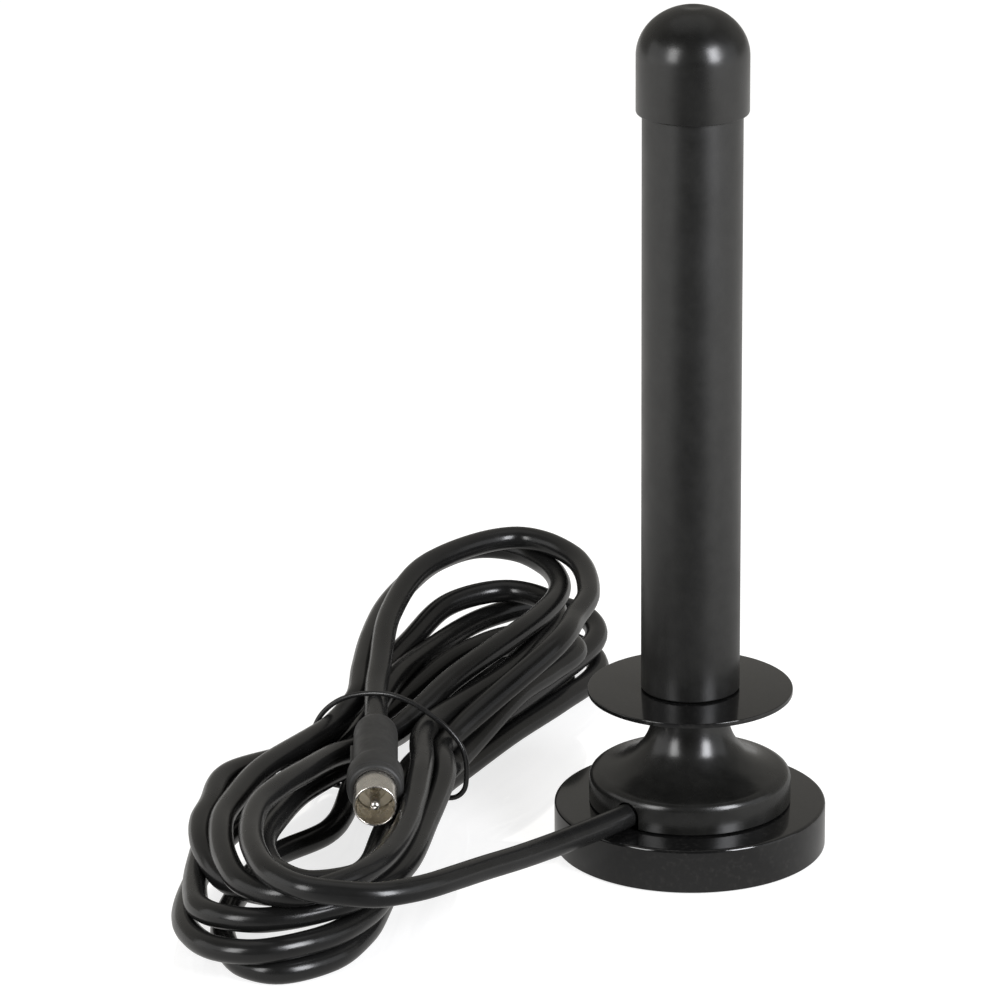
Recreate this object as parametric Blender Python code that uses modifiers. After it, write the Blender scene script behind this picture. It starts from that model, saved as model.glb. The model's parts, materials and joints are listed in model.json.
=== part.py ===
"""Indoor television aerial: a single mast on a round magnetic base, with a coaxial lead and plug.

Every length is in millimetres and becomes metres in the helpers. +Z is up, and the origin is
the centre of the round base on the surface that it stands on. The lead leaves the pedestal on
the -X -Y side and ends in a tied hank with the plug lying on it.
"""
import math

import bmesh
import bpy
from mathutils import Matrix, Vector

MM = 0.001
GAP = 0.3                     # clearance between pieces that touch
FINE_STEPS = 44               # facets round the large outer pieces
STEPS = 28                    # facets round middle-sized pieces
SMALL_STEPS = 14              # facets round small inner pieces

# magnetic base
BASE_R = 30.0
BASE_TOP = 10.2
CUP_WALL = 1.3
PAD_PROUD = 0.3               # how far the rubber pad stands out below the cup
PAD_THICK = 1.0
MAGNET_R = (12.0, 26.0)
MAGNET_THICK = 4.9
YOKE_R = (5.0, 27.8)
YOKE_THICK = 1.6
SCREW_CIRCLE_R = 15.5
SCREW_ANGLES = (50.0, 170.0, 290.0)
SCREW_HEAD_R = 2.3
SCREW_HEAD_THICK = 1.6
SCREW_SHANK_R = 1.2
SCREW_TIP_Z = 15.2

# pedestal
SKIRT_R = 22.3
SKIRT_WALL = 1.7
SKIRT_FOOT_Z = BASE_TOP + GAP
CAVITY_TOP_Z = 16.4
NECK_R = 8.0
NECK_TOP_Z = 35.4
COUNTERBORE_R = 6.8
COUNTERBORE_Z = 31.9
NUT_SEAT_Z = 22.4
NUT_SEAT_R = 8.5
BOSS_R = 3.0
BOSS_FOOT_Z = 11.4
FLARE = ((22.3, 15.7), (22.1, 16.5), (21.6, 17.2), (20.6, 17.8), (19.0, 18.2), (17.0, 18.8),
         (15.0, 19.7), (13.0, 21.1), (11.5, 22.6), (10.2, 24.3), (9.2, 26.4), (8.5, 29.0),
         (8.15, 32.0), (NECK_R, NECK_TOP_Z))

# threaded stud of the mast, an M6 with a 1 mm pitch
STUD_R = 3.0
STUD_TOP_Z = 41.5
STUD_FOOT_Z = 15.4
STUD_COLLAR_R = 5.2
STUD_COLLAR_THICK = 1.0
WASHER_R = 5.7
NUT_FLATS_R = 5.0

# ground disc and mast
DISC_R = 22.58
DISC_Z = (35.7, 36.8)
SPIGOT_R = 4.9
SPIGOT_FOOT_Z = 33.6
RING_GROOVE_Z = (34.1, 35.5)   # groove in the spigot for the retaining ring
SOCKET_R = 9.3
SOCKET_TOP_Z = 49.0
TUBE_R = 10.86
TUBE_WALL = 1.2
TUBE_FOOT_Z = DISC_Z[1] + GAP
TUBE_TOP_Z = 178.0
CAP_R = 12.17
CAP_FOOT_Z = 167.7
CAP_SHOULDER_Z = 180.1
CAP_RISE = 10.8               # height of the rounded end above its shoulder
CAP_BORE_R = 11.2
ROD_R = 1.5
FORMER_Z = (96.0, 130.0)       # foot and top of the coil former
SPACER_FOOT_Z = (70.0, 150.0)  # the lower and the upper foam spacer
COIL_TURNS = 6
COIL_PITCH = 3.4
COIL_WIRE_R = 0.4

# coaxial lead
CORD_R = 2.7
EXIT_ANGLE = 230.0            # direction in which the lead leaves the pedestal, from +X
EXIT_Z = 13.3
LEAD_ROUTE = ((-14.53, -17.31, 13.3), (-17.1, -20.4, 13.4), (-19.9, -23.8, 13.6), (-25.0, -30.0, 14.1),
              (-30.8, -37.4, 14.9), (-37.6, -46.2, 16.1), (-45.2, -56.2, 17.8), (-51.6, -65.2, 19.2),
              (-57.4, -72.3, 20.1), (-62.8, -76.6, 20.6), (-68.0, -79.2, 20.9))

# hank: the outline of the tied bundle seen from above, anticlockwise from its near end
HANK_OUTLINE = ((-93, -85.5), (-83, -85), (-76, -81.5), (-70, -71), (-64, -57), (-58.5, -42), (-54.5, -20),
                (-50, 0), (-47.5, 17), (-45.5, 34), (-36, 51), (-25, 71), (-17, 88), (-14.5, 103),
                (-18, 116), (-29, 126), (-43, 129), (-58, 124), (-69, 110), (-75, 91), (-78, 70),
                (-80, 50), (-85, 33), (-92, 16), (-103, 2), (-110, -13), (-114, -32), (-114.5, -50),
                (-111, -68), (-103, -81.5))
HANK_FOOT_Z = 0.2
HANK_TOP_Z = (24.9, 31.0)     # height at the near end and at the far end
HANK_ENDS_Y = (-85.5, 129.0)

# tie round the waist of the hank, in its own upright plane
TIE_CENTRE = (-67.0, 28.5)
TIE_ANGLE = -18.0
TIE_R = 0.6
TIE_LOOP = ((18.3, 6.0), (18.2, 10.5), (16.9, 14.2), (13.9, 17.7), (9.6, 20.8), (5.2, 23.1), (0.5, 24.3),
            (-4.6, 24.1), (-10.0, 22.6), (-13.8, 20.2), (-16.6, 17.0), (-18.3, 13.0), (-18.9, 8.0),
            (-18.3, 4.0), (-16.2, 1.5), (-12.0, 0.7), (12.0, 0.7), (15.8, 1.3), (17.7, 3.2))

# coaxial plug, drawn along its own axis from the open face at 0 towards the cord
PLUG_FACE = (-69.1, -27.0, 20.0)
PLUG_YAW = 0.8
PLUG_DROOP = 1.3
PLUG_LENGTH = 42.0
FERRULE_R = 4.75
FERRULE_WALL = 0.45
FERRULE_SHOWS = 8.4           # length of the metal that stands out of the grip
PIN_R = 1.18

BLACK_GLOSS = ((0.012, 0.012, 0.012), 0.22, 0.0)
BLACK_SATIN = ((0.016, 0.016, 0.017), 0.42, 0.0)
BLACK_RUBBER = ((0.02, 0.02, 0.021), 0.6, 0.0)
NICKEL = ((0.72, 0.70, 0.66), 0.25, 1.0)
BRASS = ((0.78, 0.6, 0.3), 0.3, 1.0)
COPPER = ((0.8, 0.42, 0.24), 0.32, 1.0)
STEEL = ((0.56, 0.57, 0.58), 0.35, 1.0)
FERRITE = ((0.06, 0.06, 0.065), 0.6, 0.0)
WHITE_PLASTIC = ((0.8, 0.8, 0.76), 0.5, 0.0)
FOAM = ((0.7, 0.7, 0.68), 0.85, 0.0)


# ---------------------------------------------------------------- helpers

def metres(point):
    """Turn a point in millimetres into a vector in metres."""
    return Vector(point) * MM


def new_collection(name):
    """Add an empty collection to the scene."""
    collection = bpy.data.collections.new(name)
    bpy.context.scene.collection.children.link(collection)
    return collection


def finish_of(name, finish):
    """Make a plain material from a colour, a roughness and a metallic value."""
    colour, roughness, metallic = finish
    material = bpy.data.materials.new(name)
    material.use_nodes = True
    shader = material.node_tree.nodes["Principled BSDF"]
    shader.inputs["Base Color"].default_value = (*colour, 1.0)
    shader.inputs["Roughness"].default_value = roughness
    shader.inputs["Metallic"].default_value = metallic
    material.diffuse_color = (*colour, 1.0)
    return material


def add_object(name, data, finish, guide=False):
    """Put mesh or curve data in the scene, as a piece of the aerial or as a cutter."""
    obj = bpy.data.objects.new(name, data)
    if guide:
        cutters.objects.link(obj)
        obj.hide_render = True
        obj.display_type = "WIRE"
    else:
        aerial.objects.link(obj)
        data.materials.append(finish_of(name + "_finish", finish))
    return obj


def arc(centre_r, centre_z, radius, start, end, count, rise=None):
    """Points of an arc in a turned profile, in degrees from +X; rise makes it an ellipse."""
    height = radius if rise is None else rise
    points = []
    for i in range(count + 1):
        angle = math.radians(start + (end - start) * i / count)
        points.append((centre_r + radius * math.cos(angle), centre_z + height * math.sin(angle)))
    return points


def ring_profile(inner, outer, low, high):
    """Closed section of a plain ring or tube, outer side first, from the top down."""
    return [(outer, high), (outer, low), (inner, low), (inner, high)]


def rod_profile(radius, low, high):
    """Open section of a plain rod, from the axis at the top to the axis at the foot."""
    return [(0.0, high), (radius, high), (radius, low), (0.0, low)]


def turned(name, profile, finish, steps=STEPS, closed=False, guide=False):
    """Turn a profile of (radius, height) points about the Z axis."""
    mesh = bpy.data.meshes.new(name)
    points = [(r * MM, 0.0, z * MM) for r, z in profile]
    edges = [(i, i + 1) for i in range(len(points) - 1)]
    if closed:
        edges.append((len(points) - 1, 0))
    mesh.from_pydata(points, edges, [])
    obj = add_object(name, mesh, finish, guide)
    screw = obj.modifiers.new("turn", "SCREW")
    screw.axis = "Z"
    screw.steps = steps
    screw.render_steps = steps
    screw.use_merge_vertices = True
    screw.merge_threshold = 0.00001
    screw.use_smooth_shade = True
    return obj


def outline(name, loops, thickness, finish, guide=False):
    """Extrude flat closed loops; the slab is centred on the local XY plane."""
    curve = bpy.data.curves.new(name, "CURVE")
    curve.dimensions = "2D"
    curve.fill_mode = "BOTH"
    curve.extrude = thickness * MM / 2
    for loop in loops:
        spline = curve.splines.new("POLY")
        spline.points.add(len(loop) - 1)
        for point, (x, y) in zip(spline.points, loop):
            point.co = (x * MM, y * MM, 0.0, 1.0)
        spline.use_cyclic_u = True
    return add_object(name, curve, finish, guide)


def wire(name, points, radius, finish, cyclic=False):
    """Run a round wire or cord through points."""
    curve = bpy.data.curves.new(name, "CURVE")
    curve.dimensions = "3D"
    curve.bevel_depth = radius * MM
    curve.bevel_resolution = 2
    curve.use_fill_caps = not cyclic
    spline = curve.splines.new("POLY")
    spline.points.add(len(points) - 1)
    for point, place in zip(spline.points, points):
        point.co = (*metres(place), 1.0)
    spline.use_cyclic_u = cyclic
    return add_object(name, curve, finish)


def as_mesh(obj):
    """Replace a curve object by a closed mesh object with the same name and place."""
    graph = bpy.context.evaluated_depsgraph_get()
    graph.update()
    mesh = bpy.data.meshes.new_from_object(obj.evaluated_get(graph))
    shape = bmesh.new()
    shape.from_mesh(mesh)
    bmesh.ops.remove_doubles(shape, verts=shape.verts, dist=0.000001)
    bmesh.ops.recalc_face_normals(shape, faces=shape.faces)
    shape.to_mesh(mesh)
    shape.free()
    name, place, curve = obj.name, obj.matrix_world.copy(), obj.data
    home, guide = obj.users_collection[0], obj.hide_render
    bpy.data.objects.remove(obj)
    bpy.data.curves.remove(curve)
    solid = bpy.data.objects.new(name, mesh)
    home.objects.link(solid)
    solid.matrix_world = place
    solid.hide_render = guide
    solid.display_type = "WIRE" if guide else "TEXTURED"
    return solid


def cylinder_tool(name, radius, depth, place, steps=SMALL_STEPS):
    """A round cutter or joiner centred at a place, in millimetres."""
    bm = bmesh.new()
    bmesh.ops.create_cone(bm, cap_ends=True, segments=steps, radius1=radius * MM, radius2=radius * MM,
                          depth=depth * MM)
    mesh = bpy.data.meshes.new(name)
    bm.to_mesh(mesh)
    bm.free()
    tool = add_object(name, mesh, None, guide=True)
    tool.location = metres(place)
    return tool


def box_tool(name, size, place):
    """A rectangular cutter centred at a place, in millimetres."""
    bm = bmesh.new()
    bmesh.ops.create_cube(bm, size=1.0)
    bmesh.ops.scale(bm, vec=metres(size), verts=bm.verts)
    mesh = bpy.data.meshes.new(name)
    bm.to_mesh(mesh)
    bm.free()
    tool = add_object(name, mesh, None, guide=True)
    tool.location = metres(place)
    return tool


def combine(target, tool, operation):
    """Add a Boolean modifier that cuts or joins a tool."""
    modifier = target.modifiers.new(tool.name, "BOOLEAN")
    modifier.operation = operation
    modifier.object = tool


def polar(radius, degrees, height):
    """A point at a radius and an angle from +X."""
    angle = math.radians(degrees)
    return (radius * math.cos(angle), radius * math.sin(angle), height)


def smooth_path(points, spacing):
    """Points about one spacing apart along the smooth curve through hand-placed points."""
    ends = [2 * Vector(points[0]) - Vector(points[1])] + [Vector(p) for p in points]
    ends.append(2 * Vector(points[-1]) - Vector(points[-2]))
    fine = []
    for before, start, end, after in zip(ends, ends[1:], ends[2:], ends[3:]):
        for i in range(16):
            t = i / 16
            fine.append(0.5 * (2 * start + (end - before) * t
                               + (2 * before - 5 * start + 4 * end - after) * t * t
                               + (3 * start - before - 3 * end + after) * t ** 3))
    fine.append(ends[-2])
    lengths = [0.0]
    for a, b in zip(fine, fine[1:]):
        lengths.append(lengths[-1] + (b - a).length)
    count = max(2, round(lengths[-1] / spacing))
    path, k = [], 0
    for i in range(count + 1):
        goal = lengths[-1] * i / count
        while k < len(fine) - 2 and lengths[k + 1] < goal:
            k += 1
        part = (goal - lengths[k]) / max(lengths[k + 1] - lengths[k], 1e-9)
        path.append(tuple(fine[k].lerp(fine[k + 1], part)))
    return path


# ---------------------------------------------------------------- magnetic base

def make_base():
    """Rubber pad, pressed cup, ferrite ring, steel yoke and the screws that hold the pedestal."""
    inner = BASE_R - CUP_WALL
    ceiling = BASE_TOP - CUP_WALL
    turned("foot_pad", rod_profile(inner - GAP, 0.0, PAD_THICK), BLACK_RUBBER, FINE_STEPS)
    edge = 1.2
    cup = turned("base_cup",
                 [(0.0, BASE_TOP)] + arc(BASE_R - edge, BASE_TOP - edge, edge, 90, 0, 4)
                 + [(BASE_R, PAD_PROUD), (inner, PAD_PROUD), (inner, ceiling), (0.0, ceiling)],
                 BLACK_GLOSS, FINE_STEPS)
    magnet_low = PAD_THICK + GAP
    magnet_high = magnet_low + MAGNET_THICK
    turned("ring_magnet", ring_profile(*MAGNET_R, magnet_low, magnet_high), FERRITE, STEPS, closed=True)
    yoke_low = magnet_high + GAP
    yoke = turned("yoke_plate", ring_profile(*YOKE_R, yoke_low, yoke_low + YOKE_THICK), STEEL, STEPS,
                  closed=True)
    for number, angle in enumerate(SCREW_ANGLES, 1):
        place = polar(SCREW_CIRCLE_R, angle, ceiling)
        combine(cup, cylinder_tool(f"cup_hole_{number}", SCREW_SHANK_R + 0.4, 6.0, place), "DIFFERENCE")
        combine(yoke, cylinder_tool(f"yoke_hole_{number}", SCREW_HEAD_R + 0.7, 6.0, place), "DIFFERENCE")
        head_top = ceiling - GAP
        head_foot = head_top - SCREW_HEAD_THICK
        screw = turned(f"base_screw_{number}",
                       [(0.0, SCREW_TIP_Z), (SCREW_SHANK_R, SCREW_TIP_Z), (SCREW_SHANK_R, head_top),
                        (SCREW_HEAD_R, head_top), (SCREW_HEAD_R, head_foot + 0.5),
                        (SCREW_HEAD_R - 0.6, head_foot), (0.0, head_foot)],
                       STEEL, SMALL_STEPS)
        screw.location = metres(polar(SCREW_CIRCLE_R, angle, 0.0))


# ---------------------------------------------------------------- pedestal

def make_pedestal():
    """Hollow flared pedestal with a nut seat, three screw bosses and a notch for the lead."""
    inner = SKIRT_R - SKIRT_WALL
    section = list(reversed(FLARE))
    section += [(SKIRT_R, SKIRT_FOOT_Z), (inner, SKIRT_FOOT_Z), (inner, CAVITY_TOP_Z),
                (16.0, CAVITY_TOP_Z), (NUT_SEAT_R, NUT_SEAT_Z), (STUD_R + GAP, NUT_SEAT_Z),
                (STUD_R + GAP, COUNTERBORE_Z), (COUNTERBORE_R, COUNTERBORE_Z), (COUNTERBORE_R, NECK_TOP_Z)]
    pedestal = turned("pedestal", section, BLACK_SATIN, FINE_STEPS, closed=True)
    boss_top = CAVITY_TOP_Z + 1.0
    for number, angle in enumerate(SCREW_ANGLES, 1):
        middle = polar(SCREW_CIRCLE_R, angle, (BOSS_FOOT_Z + boss_top) / 2)
        combine(pedestal, cylinder_tool(f"boss_{number}", BOSS_R, boss_top - BOSS_FOOT_Z, middle), "UNION")
    for number, angle in enumerate(SCREW_ANGLES, 1):
        bore_top = SCREW_TIP_Z + GAP
        middle = polar(SCREW_CIRCLE_R, angle, (BASE_TOP + bore_top) / 2)
        bore = cylinder_tool(f"boss_bore_{number}", SCREW_SHANK_R + GAP, bore_top - BASE_TOP, middle)
        combine(pedestal, bore, "DIFFERENCE")
    notch_r = CORD_R + GAP
    drop = EXIT_Z - SKIRT_FOOT_Z + 2.0
    loop = arc(0.0, 0.0, notch_r, 0, 180, 12) + [(-notch_r, -drop), (notch_r, -drop)]
    notch = outline("lead_notch", [loop], 6.0, None, guide=True)
    notch.matrix_world = (Matrix.Translation(metres(polar(SKIRT_R, EXIT_ANGLE, EXIT_Z)))
                          @ Matrix.Rotation(math.radians(EXIT_ANGLE + 90), 4, "Z")
                          @ Matrix.Rotation(math.radians(90), 4, "X"))
    bpy.context.view_layer.update()
    combine(pedestal, as_mesh(notch), "DIFFERENCE")


def hexagon(flats_radius):
    """Corners of a hexagon with its flats at a radius."""
    corner = flats_radius / math.cos(math.radians(30))
    return [(corner * math.cos(math.radians(60 * i)), corner * math.sin(math.radians(60 * i)))
            for i in range(6)]


def circle(radius, count=SMALL_STEPS):
    """Points round a circle."""
    return [(radius * math.cos(math.tau * i / count), radius * math.sin(math.tau * i / count))
            for i in range(count)]


def make_stud():
    """Stud that carries the mast, with the lock washer, the solder lug and the nut below the neck."""
    collar_low = COUNTERBORE_Z + GAP
    collar_high = collar_low + STUD_COLLAR_THICK
    turned("mast_stud",
           [(0.0, STUD_TOP_Z), (STUD_R - 0.5, STUD_TOP_Z), (STUD_R, STUD_TOP_Z - 0.5), (STUD_R, collar_high),
            (STUD_COLLAR_R, collar_high), (STUD_COLLAR_R, collar_low), (STUD_R, collar_low),
            (STUD_R, STUD_FOOT_Z), (0.0, STUD_FOOT_Z)], BRASS, 32)
    top = NUT_SEAT_Z - GAP
    turned("lock_washer", ring_profile(STUD_R + GAP, WASHER_R, top - 1.0, top), STEEL, 32, closed=True)
    lug_top = top - 1.0 - GAP
    lug_thick = 0.6
    lug = outline("solder_lug", [lug_shape(WASHER_R - 0.5, 9.6), circle(STUD_R + GAP, 24)], lug_thick, BRASS)
    lug.location = metres((0.0, 0.0, lug_top - lug_thick / 2))
    lug.rotation_euler.z = math.radians(EXIT_ANGLE)
    nut_top = lug_top - lug_thick - GAP
    nut_thick = 3.4
    nut = outline("stud_nut", [hexagon(NUT_FLATS_R), circle(STUD_R + GAP, 24)], nut_thick, BRASS)
    nut.location = metres((0.0, 0.0, nut_top - nut_thick / 2))


def lug_shape(radius, reach):
    """Ring outline with a narrow tab that runs out along +X to a reach."""
    half = 1.3
    start = math.degrees(math.asin(half / radius))
    ring = arc(0.0, 0.0, radius, start, 360 - start, 20)
    return ring + arc(reach - half, 0.0, half, -90, 90, 6)


def make_wiring():
    """Coaxial cable inside the pedestal: strain-relief tie, centre wire, braid tail and earth lug."""
    route = [polar(22.0, EXIT_ANGLE, EXIT_Z), polar(18.0, EXIT_ANGLE, 13.3), polar(15.0, EXIT_ANGLE, 13.45),
             polar(12.0, EXIT_ANGLE, 14.1), polar(9.0, EXIT_ANGLE, 14.5)]
    wire("coax_inner", smooth_path(route, 3.0), CORD_R, BLACK_SATIN)
    tie = turned("strain_tie", ring_profile(CORD_R + GAP, CORD_R + GAP + 0.7, -1.1, 1.1), WHITE_PLASTIC, 24,
                 closed=True)
    tie.matrix_world = (Matrix.Translation(metres(polar(11.0, EXIT_ANGLE, 14.28)))
                        @ Matrix.Rotation(math.radians(EXIT_ANGLE), 4, "Z")
                        @ Matrix.Rotation(math.radians(90), 4, "Y"))
    wire("feed_wire", smooth_path([polar(8.7, EXIT_ANGLE, 14.5), polar(8.1, EXIT_ANGLE, 15.1),
                                   polar(7.8, EXIT_ANGLE, 16.6), polar(7.9, EXIT_ANGLE, 18.4),
                                   polar(8.2, EXIT_ANGLE, 19.9)], 1.4), 0.4, COPPER)
    earth_angle = SCREW_ANGLES[1]
    lug_low = SKIRT_FOOT_Z
    lug = outline("earth_lug", [lug_shape(3.2, 7.0), circle(SCREW_SHANK_R + 0.45, 16)], 0.6, BRASS)
    lug.location = metres(polar(SCREW_CIRCLE_R, earth_angle, lug_low + 0.3))
    lug.rotation_euler.z = math.radians(earth_angle + 180)
    wire("earth_braid", smooth_path([polar(8.0, EXIT_ANGLE + 3, 12.9), polar(7.2, EXIT_ANGLE - 4, 12.5),
                                     polar(7.6, EXIT_ANGLE - 24, 12.2), polar(8.6, EXIT_ANGLE - 44, 12.1),
                                     polar(9.4, earth_angle + 4, 12.0)], 2.0), 0.6, COPPER)


# ---------------------------------------------------------------- ground disc and mast

def make_disc():
    """Thin ground disc, held on the spigot of the mast by a retaining ring below it."""
    low, high = DISC_Z
    edge = 0.25
    turned("ground_disc",
           [(SPIGOT_R + GAP, high), (DISC_R - edge, high), (DISC_R, high - edge), (DISC_R, low + edge),
            (DISC_R - edge, low), (SPIGOT_R + GAP, low)], BLACK_GLOSS, FINE_STEPS, closed=True)
    ring = arc(0.0, 0.0, 6.3, 25, 335, 22) + arc(0.0, 0.0, 4.6, 335, 25, 22)
    clip = outline("retaining_ring", [ring], 0.7, STEEL)
    clip.location = metres((0.0, 0.0, 34.8))


def cap_profile():
    """Section of the mast's end cap, from its outer top to its inner top."""
    outside = arc(0.0, CAP_SHOULDER_Z, CAP_R, 90, 0, 9, rise=CAP_RISE)
    outside[0] = (0.0, CAP_SHOULDER_Z + CAP_RISE)
    lip = [(CAP_R, CAP_FOOT_Z + 0.5), (CAP_R - 0.4, CAP_FOOT_Z), (CAP_BORE_R, CAP_FOOT_Z)]
    stop_z = TUBE_TOP_Z + GAP
    inner_r = CAP_BORE_R - 1.0
    inside = arc(0.0, CAP_SHOULDER_Z, inner_r, 0, 90, 5, rise=CAP_RISE - 1.6)
    inside[-1] = (0.0, CAP_SHOULDER_Z + CAP_RISE - 1.6)
    return outside + lip + [(CAP_BORE_R, stop_z), (inner_r, stop_z)] + inside


def make_mast():
    """Mast housing with its threaded socket, end cap, radiator rods, loading coil and spacers."""
    bore, hole = STUD_R + GAP, ROD_R + GAP
    groove_r = SPIGOT_R - 0.6
    groove_low, groove_high = RING_GROOVE_Z
    turned("mast_socket",
           [(0.0, 46.0), (hole, 46.0), (hole, SOCKET_TOP_Z), (SOCKET_R, SOCKET_TOP_Z),
            (SOCKET_R, TUBE_FOOT_Z), (SPIGOT_R, TUBE_FOOT_Z), (SPIGOT_R, groove_high),
            (groove_r, groove_high), (groove_r, groove_low), (SPIGOT_R, groove_low),
            (SPIGOT_R, SPIGOT_FOOT_Z), (bore, SPIGOT_FOOT_Z), (bore, 44.0), (0.0, 44.0)], BRASS, STEPS)
    tube_bore = TUBE_R - TUBE_WALL
    turned("mast_tube", ring_profile(tube_bore, TUBE_R, TUBE_FOOT_Z, TUBE_TOP_Z), BLACK_SATIN, FINE_STEPS,
           closed=True)
    turned("dome_cap", cap_profile(), BLACK_SATIN, FINE_STEPS)
    former_low, former_high = FORMER_Z
    depth = 6.0
    turned("lower_rod", rod_profile(ROD_R, 46.0 + GAP, former_low + depth - GAP), BRASS, SMALL_STEPS)
    turned("upper_rod", rod_profile(ROD_R, former_high - depth + GAP, 170.0), BRASS, SMALL_STEPS)
    core, flange = 4.4, 6.2
    turned("coil_former",
           [(0.0, former_high - depth), (hole, former_high - depth), (hole, former_high),
            (flange, former_high), (flange, former_high - 2.0), (core, former_high - 2.0),
            (core, former_low + 2.0), (flange, former_low + 2.0), (flange, former_low), (hole, former_low),
            (hole, former_low + depth), (0.0, former_low + depth)], WHITE_PLASTIC, 28)
    coil_r = core + GAP + COIL_WIRE_R
    start = (former_low + former_high - COIL_TURNS * COIL_PITCH) / 2
    helix = []
    per_turn = 10
    for i in range(COIL_TURNS * per_turn + 1):
        turn = i / per_turn
        helix.append(polar(coil_r, 360 * turn, start + COIL_PITCH * turn))
    wire("loading_coil", helix, COIL_WIRE_R, COPPER)
    for name, low in zip(("lower_spacer", "upper_spacer"), SPACER_FOOT_Z):
        turned(name, ring_profile(ROD_R + GAP, tube_bore - GAP, low, low + 7.0), FOAM, 32, closed=True)


# ---------------------------------------------------------------- lead, hank, tie and plug

def make_lead():
    """Free stretch of the coaxial lead, from the pedestal to the top of the hank's near end."""
    wire("cable_lead", smooth_path(LEAD_ROUTE, 2.2 * CORD_R), CORD_R, BLACK_SATIN)


def tie_loop(inset):
    """The tie's loop in its own plane, moved inwards by an inset."""
    points = [Vector(p) for p in TIE_LOOP]
    moved = []
    for before, here, after in zip(points[-1:] + points[:-1], points, points[1:] + points[:1]):
        along = (after - before).normalized()
        moved.append(here + Vector((-along.y, along.x)) * inset)
    return moved


def make_hank():
    """Outer shape of the tied hank: pinched by the tie and dished under the plug."""
    height = 40.0
    hank = outline("cable_hank", [HANK_OUTLINE], height, BLACK_SATIN)
    hank.location = metres((0.0, 0.0, HANK_FOOT_Z + height / 2))
    bpy.context.view_layer.update()
    hank = as_mesh(hank)
    run = HANK_ENDS_Y[1] - HANK_ENDS_Y[0]
    slope = math.atan2(HANK_TOP_Z[1] - HANK_TOP_Z[0], run)
    lid = box_tool("hank_top", (200.0, 3 * run, 40.0), (0.0, 0.0, 20.0))
    lid.matrix_world = (Matrix.Translation(metres((TIE_CENTRE[0], HANK_ENDS_Y[0], HANK_TOP_Z[0])))
                        @ Matrix.Rotation(slope, 4, "X") @ Matrix.Translation(metres((0.0, 0.0, 20.0))))
    combine(hank, lid, "DIFFERENCE")
    belt = outline("waist_belt", [[(-60, -30), (60, -30), (60, 60), (-60, 60)], tie_loop(TIE_R + GAP)],
                   2 * (TIE_R + GAP + 0.4), None, guide=True)
    belt.matrix_world = tie_place()
    bpy.context.view_layer.update()
    combine(hank, as_mesh(belt), "DIFFERENCE")
    dish_y = (-95.0, PLUG_FACE[1] + PLUG_LENGTH + GAP + 0.3)
    dish = box_tool("plug_dish", (14.6, dish_y[1] - dish_y[0], 40.0),
                    (PLUG_FACE[0] - 0.3, sum(dish_y) / 2, 13.2 + 20.0))
    combine(hank, dish, "DIFFERENCE")


def tie_place():
    """Placement of the tie's plane: local X runs across the hank and local Y is up."""
    return (Matrix.Translation(metres((*TIE_CENTRE, 0.0)))
            @ Matrix.Rotation(math.radians(TIE_ANGLE), 4, "Z") @ Matrix.Rotation(math.radians(90), 4, "X"))


def make_tie():
    """Thin plastic-coated wire that holds the waist of the hank."""
    place = tie_place()
    points = [(place @ metres((s, z, 0.0))) / MM for s, z in TIE_LOOP]
    wire("cable_tie", [tuple(p) for p in points], TIE_R, BLACK_GLOSS, cyclic=True)


def plug_place():
    """Placement of the plug: local +Z runs from its open face back along its axis."""
    return (Matrix.Translation(metres(PLUG_FACE)) @ Matrix.Rotation(math.radians(PLUG_YAW), 4, "Z")
            @ Matrix.Rotation(math.radians(-90 + PLUG_DROOP), 4, "X"))


def make_plug():
    """Moulded coaxial plug: grip, ferrule, insulator and centre pin."""
    sleeve_in = FERRULE_SHOWS + 9.0
    bore = FERRULE_R + GAP
    grip = turned("plug_grip",
                  [(CORD_R + GAP, PLUG_LENGTH), (3.6, PLUG_LENGTH), (4.5, PLUG_LENGTH - 0.6),
                   (5.0, PLUG_LENGTH - 1.8), (5.0, 20.0), (5.5, 17.5), (6.3, 16.0),
                   (6.3, FERRULE_SHOWS + 0.7), (5.9, FERRULE_SHOWS), (bore, FERRULE_SHOWS), (bore, sleeve_in + GAP),
                   (CORD_R + GAP, sleeve_in + GAP)], BLACK_RUBBER, STEPS, closed=True)
    inner = FERRULE_R - FERRULE_WALL
    shell = turned("plug_shell",
                   [(FERRULE_R, sleeve_in), (FERRULE_R, 0.2), (FERRULE_R - 0.2, 0.0), (inner, 0.0),
                    (inner, sleeve_in)], NICKEL, STEPS, closed=True)
    seat = 8.6
    insulator = turned("plug_insulator", ring_profile(PIN_R + GAP, inner - GAP, seat, sleeve_in - 1.0),
                       WHITE_PLASTIC, 28, closed=True)
    pin = turned("plug_pin",
                 [(0.0, sleeve_in + 2.0), (PIN_R, sleeve_in + 2.0), (PIN_R, 1.0), (PIN_R * 0.8, 0.2),
                  (PIN_R * 0.4, -0.2), (0.0, -0.3)], NICKEL, SMALL_STEPS)
    for piece in (grip, shell, insulator, pin):
        piece.matrix_world = plug_place()


for old in list(bpy.data.objects):
    bpy.data.objects.remove(old)
aerial = new_collection("indoor_aerial")
cutters = new_collection("cutters")
make_base()
make_pedestal()
make_stud()
make_wiring()
make_disc()
make_mast()
make_lead()
make_hank()
make_tie()
make_plug()
bpy.context.view_layer.update()
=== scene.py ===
"""Looks of the indoor aerial: lacquered base and disc, satin mast, coiled coaxial lead with plug.

Lengths are in millimetres in the frame's own axes (+Z up, origin under the middle of the base)
and become metres in the helpers.
"""
import json
import math

import bmesh
import bpy
import numpy as np
from mathutils import Matrix, Vector


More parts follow.
